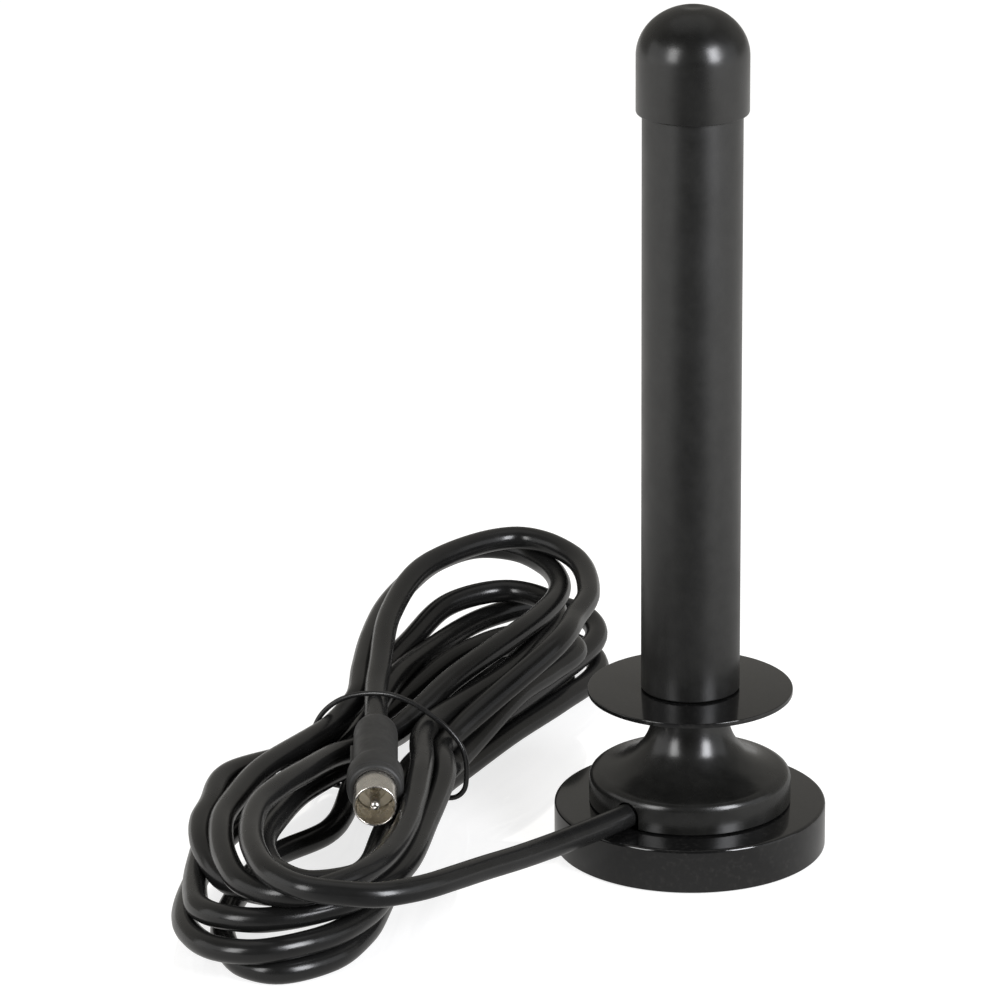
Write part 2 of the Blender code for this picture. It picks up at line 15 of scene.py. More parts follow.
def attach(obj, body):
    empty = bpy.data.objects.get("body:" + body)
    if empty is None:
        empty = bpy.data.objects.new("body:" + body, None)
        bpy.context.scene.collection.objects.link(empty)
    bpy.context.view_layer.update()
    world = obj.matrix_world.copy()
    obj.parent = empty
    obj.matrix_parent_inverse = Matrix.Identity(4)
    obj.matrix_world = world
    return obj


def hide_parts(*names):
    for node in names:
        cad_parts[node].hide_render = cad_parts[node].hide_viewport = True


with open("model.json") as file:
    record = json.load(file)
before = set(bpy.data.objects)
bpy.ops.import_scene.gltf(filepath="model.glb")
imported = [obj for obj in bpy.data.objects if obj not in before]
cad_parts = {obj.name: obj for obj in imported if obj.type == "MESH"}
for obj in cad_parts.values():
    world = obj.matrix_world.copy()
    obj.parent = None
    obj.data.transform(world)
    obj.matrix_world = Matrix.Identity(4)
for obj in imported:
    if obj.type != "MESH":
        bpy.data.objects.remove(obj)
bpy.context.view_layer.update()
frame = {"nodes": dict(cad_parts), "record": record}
nodes = frame["nodes"]

MM = 0.001
ROUND = 160                   # facets round the large turned pieces
SMALL_ROUND = 96              # facets round the plug's pieces and the mast's socket

# magnetic base
BASE_R = 30.0
BASE_TOP = 10.2
BASE_FOOT = 0.3
CUP_WALL = 1.3

# pedestal and the disc on it
SKIRT_R = 22.3
SKIRT_WALL = 1.7
SKIRT_FOOT = 10.5
CAVITY_TOP = 16.4
NECK_R = 8.0
NECK_TOP = 35.4
FLARE = ((22.3, 15.7), (22.1, 16.5), (21.6, 17.2), (20.6, 17.8), (19.0, 18.2), (17.0, 18.8),
         (15.0, 19.7), (13.0, 21.1), (11.5, 22.6), (10.2, 24.3), (9.2, 26.4), (8.5, 29.0), (8.15, 32.0),
         (NECK_R, NECK_TOP - 0.4))   # radius and height, from the skirt up to the neck
NUT_SEAT_R = 8.5
NUT_SEAT = 22.4
COUNTERBORE_R = 6.8
COUNTERBORE = 31.9
STUD_HOLE_R = 3.3
DISC_R = 22.58
DISC_Z = (35.7, 36.8)
DISC_HOLE_R = 5.2

# stud, socket and mast
STUD_R = 3.0
STUD_Z = (15.4, 41.5)
THREAD_PITCH = 1.0
THREAD_DEPTH = 0.55
SOCKET_BORE_R = 3.3
TUBE_R = 10.86
TUBE_WALL = 1.2
TUBE_Z = (37.1, 178.0)
CAP_R = 12.17
CAP_BORE_R = 11.2
CAP_FOOT = 167.7
CAP_SHOULDER = 180.1
CAP_RISE = 10.8

# coaxial lead
CORD_R = 2.7
EXIT_ANGLE = 230.0            # degrees round the pedestal, from +X
EXIT_Z = 13.3
LEG_START = 56.0              # Y where a far loop's right leg begins

# how the lead's strands settle against each other
SETTLE_SPACING = 2.5          # between the settling path's points
SETTLE_ROUNDS = 300
PAIR_ROUNDS = 8               # rounds between two searches for close pairs
PAIR_REACH = 3.0 * CORD_R     # strands nearer than this are a close pair
PAIR_SKIP = 3.6 * CORD_R      # stretch of one strand that isn't a pair with itself
STRAND_GAP = 2.02 * CORD_R    # between the middles of touching strands
LEAST_BEND = 13.0
HELD, HELD_EASE = 14, 8       # points of the lead that stay as placed, and that ease into moving freely
TAIL, TAIL_EASE = 8, 6        # the same at the plug's end
SHIFT_SMOOTHINGS = 3
SHIFT_KEPT = 0.9985           # part of each round's shift that the next one starts from
CORD_SPACING = 1.25           # between the finished cord's points

# tie round the waist of the hank
TIE_CENTRE = (-67.0, 28.5)
TIE_ANGLE = math.radians(-18.0)
TIE_R = 0.6
TIE_GAP = 0.15                # between the tie and the strands
WAIST_HALF = 4.0              # the tie acts this far either side of its own plane
TIE_LOOP = ((18.3, 6.0), (18.2, 10.5), (16.9, 14.2), (13.9, 17.7), (9.6, 20.8), (5.2, 23.1), (0.5, 24.3),
            (-4.6, 24.1), (-10.0, 22.6), (-13.8, 20.2), (-16.6, 17.0), (-18.3, 13.0), (-18.9, 8.0),
            (-18.3, 4.0), (-16.2, 1.5), (-12.0, 0.7), (12.0, 0.7), (15.8, 1.3), (17.7, 3.2))

# plug, from its open face back along its own axis
PLUG_FACE = Vector((-69.1, -27.0, 20.0))
PLUG_YAW = math.radians(0.8)
PLUG_DROOP = math.radians(1.3)
PLUG_LENGTH = 42.0
FERRULE_R = 4.75
FERRULE_WALL = 0.45
FERRULE_SHOWS = 8.4
COLLAR_END = 17.0             # where the grip's thick collar ends
KEEP_OFF = (5.2, 6.5, 5.3)    # radii that strands keep off, at the ferrule, the collar and the grip
PIN_R = 1.18

# camera: its place, how far it looks down, its roll and its lens
CAMERA_PLACE = (-41.556, -1173.671, 493.141)
CAMERA_PITCH = math.radians(19.3656)
CAMERA_ROLL = math.radians(-0.42487)
CAMERA_LENS = 205.94
CAMERA_SENSOR = 36.0

# floor as the eye sees it: a steady glow, a part that shadows darken and a faint mirror
FLOOR_REACH = 4.0             # metres
FLOOR_GLOW = 0.76
FLOOR_LIT = 0.4
FLOOR_MIRROR = 0.45

# floor as other rays meet it: a pale sheet with light from below. Each range is from, to and the
# strength at both. Angles are radians from the camera's direction, and the others are metres from the axis.
FLOOR_BOUNCE = 0.16
GAP_OFFSET = 0.07             # how far the dark gap's middle lies to the left of the camera
GAP_BY_ANGLE = (0.34, 0.95, 0.03, 1.0)
BEHIND_BY_ANGLE = (1.4, 2.4, 0.92, 0.6)
BELOW_BY_REACH = (0.04, 0.3, 0.42, 1.1)
LEAST_BY_REACH = (0.03, 0.17, 0.36, 0.0)

# studio round the object: its strength from the camera's side to the far side, by the direction's Y
STUDIO_DIRECTION = (-0.35, 0.45)
STUDIO_STRENGTH = (0.04, 0.32)
STUDIO_TINT = (1.0, 0.97, 0.9, 1.0)

# softboxes: name, degrees right of the camera, degrees up, distance and size in metres, radiance, tint
SOFTBOXES = (
    ("left_bank", -84.0, 14.0, 1.2, (0.9, 0.7), 1.05, (1.0, 1.0, 1.0)),
    ("right_bank", 78.0, 14.0, 1.2, (0.8, 0.7), 0.75, (0.95, 0.97, 1.0)),
    ("left_key", -45.0, 21.0, 1.1, (0.36, 0.6), 9.0, (1.0, 1.0, 1.0)),
    ("right_key", 43.0, 22.0, 1.1, (0.38, 0.62), 19.0, (0.95, 0.96, 1.0)),
    ("overhead", 180.0, 80.0, 1.1, (1.1, 0.8), 0.3, (1.0, 1.0, 1.0)),
)
SOFTBOX_AIM = (0.0, 0.0, 0.09)     # metres


# ---------------------------------------------------------------- helpers

def metres(point):
    """A point in millimetres as a vector in metres."""
    return Vector(point) * MM


def link(name, data, material):
    """Put mesh or curve data in the scene as a named piece with one material."""
    obj = bpy.data.objects.new(name, data)
    bpy.context.scene.collection.objects.link(obj)
    if material is not None:
        data.materials.append(material)
    return obj


def arc(centre, radius, start, end, count, rise):
    """Points of an elliptical arc in a turned section, in degrees from outwards."""
    points = []
    for i in range(count + 1):
        angle = math.radians(start + (end - start) * i / count)
        points.append((centre[0] + radius * math.cos(angle), centre[1] + rise * math.sin(angle)))
    return points


def rounded(section, closed, count=4):
    """A turned section whose corners (radius, height, rounding) are replaced by short arcs."""
    points = [Vector(p[:2]) for p in section]
    size = [p[2] if len(p) > 2 else 0.0 for p in section]
    result = []
    for i, here in enumerate(points):
        inner = closed or 0 < i < len(points) - 1
        if not inner or size[i] == 0.0:
            result.append(tuple(here))
            continue
        before, after = points[i - 1], points[(i + 1) % len(points)]
        for k in range(count + 1):
            t = k / count
            start = here + (before - here).normalized() * size[i]
            end = here + (after - here).normalized() * size[i]
            result.append(tuple(start.lerp(here, t).lerp(here.lerp(end, t), t)))
    return result


def turned(name, section, material, steps=ROUND, closed=False, sharp=40.0, relief=None):
    """Turn a section of (radius, height) points about Z; ends on the axis close with a fan.

    relief(radius, height, turn) gives how far the surface is cut in, for a thread.
    """
    shape = bmesh.new()
    rings = []
    for radius, height in section:
        if radius < 1e-6:
            rings.append([shape.verts.new((0.0, 0.0, height * MM))])
            continue
        ring = []
        for k in range(steps):
            angle = 2 * math.pi * k / steps
            out = radius - (relief(radius, height, k / steps) if relief else 0.0)
            ring.append(shape.verts.new((out * MM * math.cos(angle), out * MM * math.sin(angle),
                                         height * MM)))
        rings.append(ring)
    pairs = list(zip(rings, rings[1:]))
    if closed:
        pairs.append((rings[-1], rings[0]))
    for upper, lower in pairs:
        for k in range(steps):
            j = (k + 1) % steps
            if len(upper) == 1:
                corners = (upper[0], lower[k], lower[j])
            elif len(lower) == 1:
                corners = (upper[k], lower[0], upper[j])
            else:
                corners = (upper[k], lower[k], lower[j], upper[j])
            shape.faces.new(corners)
    bmesh.ops.recalc_face_normals(shape, faces=shape.faces)
    for face in shape.faces:
        face.smooth = True
    for edge in shape.edges:
        if len(edge.link_faces) == 2 and edge.calc_face_angle() > math.radians(sharp):
            edge.smooth = False
    mesh = bpy.data.meshes.new(name)
    shape.to_mesh(mesh)
    shape.free()
    return link(name, mesh, material)


def tube(name, points, radius, material, cyclic=False, resolution=8):
    """A round wire or cord along points, as a curve with one spline."""
    curve = bpy.data.curves.new(name, "CURVE")
    curve.dimensions = "3D"
    curve.bevel_depth = radius * MM
    curve.bevel_resolution = resolution
    curve.use_fill_caps = not cyclic
    spline = curve.splines.new("POLY")
    spline.points.add(len(points) - 1)
    spline.points.foreach_set("co", [value for p in points for value in (*(c * MM for c in p), 1.0)])
    spline.use_cyclic_u = cyclic
    return link(name, curve, material)


def smooth_path(points, spacing):
    """Centripetal Catmull-Rom curve through the given points, at an even spacing."""
    places = np.asarray(points, float)
    ends = np.vstack([2 * places[0] - places[1], places, 2 * places[-1] - places[-2]])
    fine = []
    for i in range(1, len(ends) - 2):
        p0, p1, p2, p3 = ends[i - 1:i + 3]
        t1 = np.linalg.norm(p1 - p0) ** 0.5
        t2 = t1 + np.linalg.norm(p2 - p1) ** 0.5
        t3 = t2 + np.linalg.norm(p3 - p2) ** 0.5
        t = np.linspace(t1, t2, 12, endpoint=False)[:, None]
        a1 = (t1 - t) / t1 * p0 + t / t1 * p1
        a2 = (t2 - t) / (t2 - t1) * p1 + (t - t1) / (t2 - t1) * p2
        a3 = (t3 - t) / (t3 - t2) * p2 + (t - t2) / (t3 - t2) * p3
        b1 = (t2 - t) / t2 * a1 + t / t2 * a2
        b2 = (t3 - t) / (t3 - t1) * a2 + (t - t1) / (t3 - t1) * a3
        fine.append((t2 - t) / (t2 - t1) * b1 + (t - t1) / (t2 - t1) * b2)
    return evenly(np.vstack(fine + [places[-1:]]), spacing)


def evenly(path, spacing):
    """The same path with its points an even spacing apart."""
    along = np.concatenate([[0.0], np.cumsum(np.linalg.norm(np.diff(path, axis=0), axis=1))])
    goals = np.linspace(0.0, along[-1], int(round(along[-1] / spacing)) + 1)
    return np.stack([np.interp(goals, along, path[:, axis]) for axis in range(3)], 1)


# ---------------------------------------------------------------- materials

def new_material(name, base, roughness, **settings):
    """A Principled material with constants on the shader's own sockets."""
    material = bpy.data.materials.new(name)
    material.use_nodes = True
    shader = material.node_tree.nodes["Principled BSDF"]
    shader.inputs["Base Color"].default_value = (*base, 1.0)
    shader.inputs["Roughness"].default_value = roughness
    for socket, value in settings.items():
        shader.inputs[socket.replace("_", " ")].default_value = value
    return material


def node(material, kind, **inputs):
    """Add a node and set inputs by name, with underscores for spaces."""
    added = material.node_tree.nodes.new(kind)
    for name, value in inputs.items():
        added.inputs[name.replace("_", " ")].default_value = value
    return added


def noise(material, scale, detail=4.0, roughness=0.6, stretch=(1.0, 1.0, 1.0)):
    """Noise in object space, which may be stretched along an axis; returns its value."""
    links = material.node_tree.links
    place = node(material, "ShaderNodeTexCoord")
    mapping = node(material, "ShaderNodeMapping")
    mapping.inputs["Scale"].default_value = stretch
    texture = node(material, "ShaderNodeTexNoise", Scale=scale, Detail=detail, Roughness=roughness)
    links.new(place.outputs["Object"], mapping.inputs["Vector"])
    links.new(mapping.outputs["Vector"], texture.inputs["Vector"])
    return texture.outputs["Fac"]


def ranged(material, value, low, high, to_low, to_high, smooth=False):
    """Map a value from one range to another, held at its ends."""
    mapped = node(material, "ShaderNodeMapRange", From_Min=low, From_Max=high, To_Min=to_low,
                  To_Max=to_high)
    if smooth:
        mapped.interpolation_type = "SMOOTHSTEP"
    material.node_tree.links.new(value, mapped.inputs["Value"])
    return mapped.outputs["Result"]


def blended(material, factor, first, second):
    """Mix two colours by a factor."""
    mix = node(material, "ShaderNodeMix")
    mix.data_type = "RGBA"
    colours = [s for s in mix.inputs if s.type == "RGBA"]
    colours[0].default_value = (*first, 1.0)
    colours[1].default_value = (*second, 1.0)
    material.node_tree.links.new(factor, mix.inputs[0])
    return next(s for s in mix.outputs if s.type == "RGBA")


def math_node(material, operation, first, second=None):
    """A Math node on one or two values, each a socket or a number."""
    made = node(material, "ShaderNodeMath")
    made.operation = operation
    for socket, value in zip(made.inputs, (first, second)):
        if isinstance(value, (int, float)):
            socket.default_value = value
        elif value is not None:
            material.node_tree.links.new(value, socket)
    return made.outputs[0]


def added_shaders(material, first, *others):
    """The sum of several shaders."""
    for other in others:
        total = node(material, "ShaderNodeAddShader")
        material.node_tree.links.new(first.outputs[0], total.inputs[0])
        material.node_tree.links.new(other.outputs[0], total.inputs[1])
        first = total
    return first


def wire_up(material, colour, roughness, height, depth, strength):
    """Join colour, roughness and a bump height to the shader; depth is the bump's, in metres."""
    links = material.node_tree.links
    shader = material.node_tree.nodes["Principled BSDF"]
    bump = node(material, "ShaderNodeBump", Strength=strength, Distance=depth)
    links.new(colour, shader.inputs["Base Color"])
    links.new(roughness, shader.inputs["Roughness"])
    links.new(height, bump.inputs["Height"])
    links.new(bump.outputs["Normal"], shader.inputs["Normal"])
    return material


def lacquer(name):
    """Glossy black lacquer with faint orange peel and a little dust."""
    material = new_material(name, (0.006, 0.006, 0.006), 0.1, Specular_IOR_Level=0.45, Coat_Weight=0.25,
                            Coat_Roughness=0.04)
    dust = ranged(material, noise(material, 900.0, 3.0, 0.7), 0.52, 0.8, 0.0, 1.0)
    colour = blended(material, dust, (0.006, 0.006, 0.006), (0.022, 0.021, 0.02))
    rough = ranged(material, noise(material, 60.0), 0.3, 0.7, 0.07, 0.15)
    return wire_up(material, colour, rough, noise(material, 420.0, 2.0), 0.000004, 0.35)


def satin(name, low, high, colour=(0.007, 0.007, 0.0066)):
    """Satin black paint with a fine even grain."""
    material = new_material(name, colour, 0.4, Specular_IOR_Level=0.5)
    lighter = tuple(c * 1.8 for c in colour)
    tint = blended(material, ranged(material, noise(material, 260.0, 5.0, 0.7), 0.35, 0.7, 0.0, 1.0),
                   colour, lighter)
    rough = ranged(material, noise(material, 90.0, 3.0), 0.3, 0.7, low, high)
    return wire_up(material, tint, rough, noise(material, 2600.0, 3.0, 0.6), 0.00001, 0.3)


def jacket():
    """Satin PVC of the lead, with slow tone changes, scuffs and a fine skin."""
    colour = (0.008, 0.008, 0.0078)
    material = new_material("cord_jacket", colour, 0.3, Specular_IOR_Level=0.42)
    tint = blended(material, ranged(material, noise(material, 70.0, 4.0), 0.35, 0.7, 0.0, 1.0), colour,
                   (0.0125, 0.0125, 0.0125))
    rough = ranged(material, noise(material, 240.0, 5.0, 0.7), 0.3, 0.72, 0.18, 0.3)
    return wire_up(material, tint, rough, noise(material, 1500.0, 4.0, 0.6), 0.00001, 0.3)


def moulded(name, colour, low, high, grain=900.0, depth=0.00003, strength=0.4):
    """Moulded plastic or rubber with a matt grain."""
    material = new_material(name, colour, (low + high) / 2, Specular_IOR_Level=0.5)
    tint = blended(material, ranged(material, noise(material, 120.0), 0.3, 0.7, 0.0, 1.0), colour,
                   tuple(c * 1.5 for c in colour))
    rough = ranged(material, noise(material, 300.0, 4.0), 0.3, 0.7, low, high)
    return wire_up(material, tint, rough, noise(material, grain, 4.0, 0.65), depth, strength)


def metal(name, colour, low, high, stretch=(1.0, 1.0, 1.0), bump=0.25):
    """Plated or drawn metal with faint marks along one direction."""
    material = new_material(name, colour, (low + high) / 2, Metallic=1.0)
    tint = blended(material, ranged(material, noise(material, 220.0, 5.0, 0.7), 0.35, 0.75, 0.0, 1.0),
                   colour, tuple(c * 0.72 for c in colour))
    rough = ranged(material, noise(material, 500.0, 5.0, 0.7, stretch), 0.3, 0.7, low, high)
    return wire_up(material, tint, rough, noise(material, 1200.0, 4.0, 0.6, stretch), 0.000006, bump)


MATERIALS = {
    "foot_rubber": moulded("foot_rubber", (0.012, 0.012, 0.012), 0.6, 0.8),
    "base_gloss": lacquer("base_gloss"),
    "magnet": moulded("magnet", (0.035, 0.035, 0.038), 0.5, 0.75, 500.0, 0.00006, 0.6),
    "steel": metal("steel", (0.52, 0.53, 0.54), 0.22, 0.42),
    "pedestal_plastic": satin("pedestal_plastic", 0.2, 0.3, (0.007, 0.007, 0.0065)),
    "brass": metal("brass", (0.66, 0.47, 0.2), 0.2, 0.36),
    "copper": metal("copper", (0.72, 0.33, 0.18), 0.25, 0.42),
    "nylon": moulded("nylon", (0.6, 0.58, 0.52), 0.35, 0.5),
    "foam": moulded("foam", (0.55, 0.55, 0.53), 0.8, 0.95, 700.0, 0.0004, 0.8),
    "disc_gloss": lacquer("disc_gloss"),
    "mast_satin": satin("mast_satin", 0.3, 0.4),
    "cap_satin": satin("cap_satin", 0.24, 0.34, (0.006, 0.006, 0.0056)),
    "cord_pvc": jacket(),
    "tie_plastic": moulded("tie_plastic", (0.01, 0.01, 0.01), 0.2, 0.3, 900.0, 0.00001, 0.2),
    "plug_rubber": moulded("plug_rubber", (0.022, 0.022, 0.0215), 0.42, 0.6, 1400.0, 0.00002, 0.4),
    "nickel": metal("nickel", (0.86, 0.82, 0.76), 0.2, 0.36),
    "plug_plastic": moulded("plug_plastic", (0.62, 0.58, 0.47), 0.3, 0.45),
}


def wear(slot, node_name):
    """Give a CAD node its slot's procedural material."""
    mesh = nodes[node_name].data
    mesh.materials.clear()
    mesh.materials.append(MATERIALS[slot])


def stands_for(obj, body, slot, *replaced):
    """A piece rides on a body and replaces CAD nodes; the slot is not used."""
    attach(obj, body)
    if replaced:
        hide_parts(*replaced)
    return obj


# ---------------------------------------------------------------- camera

def make_camera():
    """The long-lens view from a little above, with a slight roll."""
    ahead = Vector((0.0, math.cos(CAMERA_PITCH), -math.sin(CAMERA_PITCH)))
    right = Vector((1.0, 0.0, 0.0))
    up = Vector((0.0, math.sin(CAMERA_PITCH), math.cos(CAMERA_PITCH)))
    right_rolled = right * math.cos(CAMERA_ROLL) + up * math.sin(CAMERA_ROLL)
    up_rolled = up * math.cos(CAMERA_ROLL) - right * math.sin(CAMERA_ROLL)
    data = bpy.data.cameras.new("camera")
    data.sensor_width = CAMERA_SENSOR
    data.lens = CAMERA_LENS
    data.clip_start = 0.05
    data.clip_end = 20.0
    camera = bpy.data.objects.new("camera", data)
    bpy.context.scene.collection.objects.link(camera)
    turn = Matrix((right_rolled, up_rolled, -ahead)).transposed().to_4x4()
    camera.matrix_world = Matrix.Translation(metres(CAMERA_PLACE)) @ turn
    bpy.context.scene.camera = camera


# ---------------------------------------------------------------- coaxial lead

def plug_axis():
    """Unit vector back along the plug."""
    turn = Matrix.Rotation(PLUG_YAW, 3, "Z") @ Matrix.Rotation(-math.pi / 2 + PLUG_DROOP, 3, "X")
    return turn @ Vector((0.0, 0.0, 1.0))


def in_tie(across, height):
    """A point in the tie's plane, across the hank and above the floor."""
    return (TIE_CENTRE[0] + across * math.cos(TIE_ANGLE), TIE_CENTRE[1] + across * math.sin(TIE_ANGLE),
            height)


# the stretch from the pedestal to the hank
LEAD_ROUTE = ((-14.53, -17.31, 13.3), (-17.1, -20.4, 13.4), (-19.9, -23.8, 13.6), (-25.0, -30.0, 14.1),
              (-30.8, -37.4, 14.9), (-37.6, -46.2, 16.1), (-45.2, -56.2, 17.8), (-51.6, -65.2, 19.2),
              (-57.4, -72.3, 20.1), (-62.8, -76.6, 20.6), (-68.0, -79.2, 20.9))

# the first turn: round the near end, through the tie under the plug, and over the far end
FIRST_TURN = ((-75.5, -79.8, 21.5), (-83.0, -78.4, 21.9), (-89.8, -71.5, 21.9), (-93.8, -59.5, 21.9),
              (-95.4, -45, 21.6), (-94.4, -30, 21), (-90.6, -17.5, 20), (-85.5, -4, 18), (-80, 10.5, 15.3),
              (-74.5, 20, 13.2), in_tie(0.5, 14.2), (-60, 36, 17.0), (-53.5, 46, 20), (-46, 57, 22),
              (-38.5, 69, 23.3), (-32.5, 81, 23.8), (-28.5, 93, 24), (-27.5, 104, 24.2), (-30.5, 117, 24.6),
              (-38.0, 127.5, 24.8), (-47, 130.0, 24.8), (-56.5, 121, 24.5), (-63.5, 104.5, 24),
              (-68, 89, 23.6), (-70.5, 72, 23), (-72.0, 56, 21.8), (-73.6, 42, 20))

# the other turns: slot at the tie's left, near loop, slot at the tie's right, far loop. A near loop
# is its leg's X beside the tie, its left, tip and right points, and the heights of those three. A
# far loop is its right leg's lean, its right, tip, shoulder and left points, and three heights.
TURNS = (
    ((-13.6, 16.5), (-95.5, (-103.5, -33), (-87, -73.5), (-68, -45), (17.5, 16.8, 14.5)),
     (10.4, 14.2), (13.0, (-27.5, 96), (-39, 113.5), (-52.5, 106), (-63, 85), (15.5, 17, 14.5))),
    ((-16.6, 12.2), (-103.0, (-107.0, -27), (-90.5, -53), (-67, -36), (15, 12.5, 12)),
     (9.4, 8.4), (21.5, (-18.5, 108), (-29.5, 123), (-44, 112), (-61, 78), (9.5, 11.5, 10.5))),
    ((-10.5, 8.3), (-97.5, (-109.0, -50), (-92.5, -76.5), (-67, -45), (8, 8.0, 8)),
     (13.5, 3.4), (21.0, (-19.2, 102), (-29.0, 117), (-44, 107), (-63, 74), (3.4, 6.5, 7.5))),
    ((-8.0, 2.9), (-80.0, (-101.5, -51), (-89.5, -79.5), (-67.2, -42), (2.7, 2.7, 2.7)),
     (8.6, 3.0), (22.0, (-25.0, 93), (-37, 106), (-50, 93), (-66, 68), (2.7, 2.7, 2.7))),
    ((-6.0, 12.0), (-86.0, (-93.5, -33), (-84.0, -64), (-67, -42), (13.0, 13.5, 13)),
     (14.0, 8.6), (14.0, (-24.5, 86), (-38, 99), (-52.5, 84), (-64, 66), (14, 14.0, 11.0))),
    ((-12.5, 3.6), (-101.0, (-106.8, -54), (-92.5, -71.0), (-65.5, -41), (12, 13.0, 12.5)),
     (13.9, 14.2), (7.5, (-20.9, 89), (-37.5, 122.5), (-58.8, 104), (-68.2, 77), (26, 28, 25))),
)


def between(first, second, across, along):
    """The place a part of the way from one point to another, with its own part for X and for Y."""
    return (first[0] + across * (second[0] - first[0]), first[1] + along * (second[1] - first[1]))


def near_loop(leg, left, tip, right, heights):
    """Points of a turn's loop at the near end, from the tie down the left and up the right."""
    low, end, high = heights
    return [(leg, 0.0, low),
            (0.4 * leg + 0.6 * left[0], -16.0, low),
            (*left, low),
            (*between(left, tip, 0.10, 0.50), 0.6 * low + 0.4 * end),
            (*between(left, tip, 0.42, 0.86), end),
            (*tip, end),
            (*between(tip, right, 0.52, 0.20), end),
            (*between(tip, right, 0.84, 0.58), 0.5 * (end + high)),
            (*right, high),
            (right[0] + 3.5, -20.0, high),
            (right[0] + 7.5, 2.0, high)]


def far_loop(lean, right, tip, shoulder, left, heights):
    """Points of a turn's loop at the far end, from the tie up the right and down the left."""
    high, end, low = heights
    return [(right[0] - lean, LEG_START, high),
            (right[0] - 0.45 * lean, 0.5 * (LEG_START + right[1]), high),
            (*right, high),
            (*between(right, tip, 0.22, 0.66), 0.5 * (high + end)),
            (*tip, end),
            (*shoulder, end),
            (*left, low)]


def cord_route():
    """The whole lead as listed points: the visible stretch, the turns and the tail to the plug."""
    back = plug_axis()
    rear = PLUG_FACE + back * PLUG_LENGTH
    points = list(LEAD_ROUTE) + list(FIRST_TURN)
    for slot_left, near, slot_right, far in TURNS:
        points += [in_tie(*slot_left)] + near_loop(*near) + [in_tie(*slot_right)] + far_loop(*far)
    return points + [(-70.0, 50.0, 22.2), rear + back * 11, rear + back * 4, rear]


def push_into_tie(path):
    """Moves that keep the strands at the waist inside the tie's loop."""
    corners = np.array(TIE_LOOP)
    across = np.array((math.cos(TIE_ANGLE), math.sin(TIE_ANGLE)))
    through = np.array((-across[1], across[0]))
    offset = path[:, :2] - TIE_CENTRE
    waist = np.where(np.abs(offset @ through) < WAIST_HALF)[0]
    moves = np.zeros_like(path)
    here = np.stack([offset[waist] @ across, path[waist, 2]], 1)
    clear = TIE_R + CORD_R + TIE_GAP
    for start, end in zip(corners, np.roll(corners, -1, 0)):
        side = end - start
        length = np.linalg.norm(side)
        inward = np.array((-side[1], side[0])) / length
        part = (here - start) @ side / length ** 2
        beside = (part > -0.3) & (part < 1.3)
        gap = (here - start) @ inward
        push = np.where((gap < clear) & beside, clear - gap, 0.0) * 0.5
        moves[waist, :2] += (push * inward[0])[:, None] * across
        moves[waist, 2] += push * inward[1]
    return moves


def push_off_plug(path, tail):
    """Moves that keep the strands outside the plug, but not the tail that enters it."""
    back = np.array(plug_axis())
    face = np.array(PLUG_FACE)
    along = np.clip((path - face) @ back, -1.0, PLUG_LENGTH)
    ferrule, collar, grip = KEEP_OFF
    radius = np.where(along < FERRULE_SHOWS, ferrule, np.where(along < COLLAR_END, collar, grip))
    away = path - (face + along[:, None] * back)
    distance = np.linalg.norm(away, axis=1) + 1e-9
    need = radius + CORD_R + 0.1 - distance
    need[-tail:] = 0.0
    return (0.5 * np.maximum(need, 0.0) / distance)[:, None] * away


def push_apart(path, pairs):
    """Moves that hold touching strands apart."""
    first, second = pairs
    gap = path[first] - path[second]
    distance = np.linalg.norm(gap, axis=1) + 1e-9
    close = distance < STRAND_GAP
    push = (0.5 * (STRAND_GAP - distance[close]) / distance[close])[:, None] * gap[close]
    moves = np.zeros_like(path)
    count = np.zeros(len(path))
    np.add.at(moves, first[close], push)
    np.add.at(moves, second[close], -push)
    np.add.at(count, first[close], 1)
    np.add.at(count, second[close], 1)
    return moves / np.maximum(count, 1)[:, None] ** 0.6


def push_straight(path):
    """Moves that open out bends tighter than the least radius."""
    reach = 3                 # points either side of the one that moves
    middle = 0.5 * (path[:-2 * reach] + path[2 * reach:]) - path[reach:-reach]
    bulge = np.linalg.norm(middle, axis=1) + 1e-9
    allowed = (reach * SETTLE_SPACING) ** 2 / (2 * LEAST_BEND)
    moves = np.zeros_like(path)
    moves[reach:-reach] = (0.35 * np.maximum(bulge - allowed, 0.0) / bulge)[:, None] * middle
    return moves


def settle(route):
    """Let the strands push each other apart until they lie side by side, in the tie and on the floor."""
    rest = smooth_path(route, SETTLE_SPACING)
    shift = np.zeros_like(rest)
    free = np.ones(len(rest))
    free[:HELD] = 0.0
    free[HELD:HELD + HELD_EASE] = np.linspace(0.0, 1.0, HELD_EASE)
    free[-TAIL:] = 0.0
    free[-TAIL - TAIL_EASE:-TAIL] = np.linspace(1.0, 0.0, TAIL_EASE)
    skip = int(round(PAIR_SKIP / SETTLE_SPACING))
    for step in range(SETTLE_ROUNDS):
        path = rest + shift
        if step % PAIR_ROUNDS == 0:
            apart = ((path[:, None, :] - path[None, :, :]) ** 2).sum(-1)
            pairs = np.where(np.triu(apart < PAIR_REACH ** 2, skip))
        shift += push_apart(path, pairs)
        shift += push_into_tie(path)
        shift += push_straight(path)
        shift += push_off_plug(path, TAIL + TAIL_EASE)
        shift *= free[:, None]
        for _ in range(SHIFT_SMOOTHINGS):
            shift[1:-1] = 0.5 * shift[1:-1] + 0.25 * (shift[:-2] + shift[2:])
        shift *= SHIFT_KEPT
        shift[:, 2] = np.maximum(shift[:, 2], CORD_R - rest[:, 2])
    return smooth_path(rest + shift, CORD_SPACING)


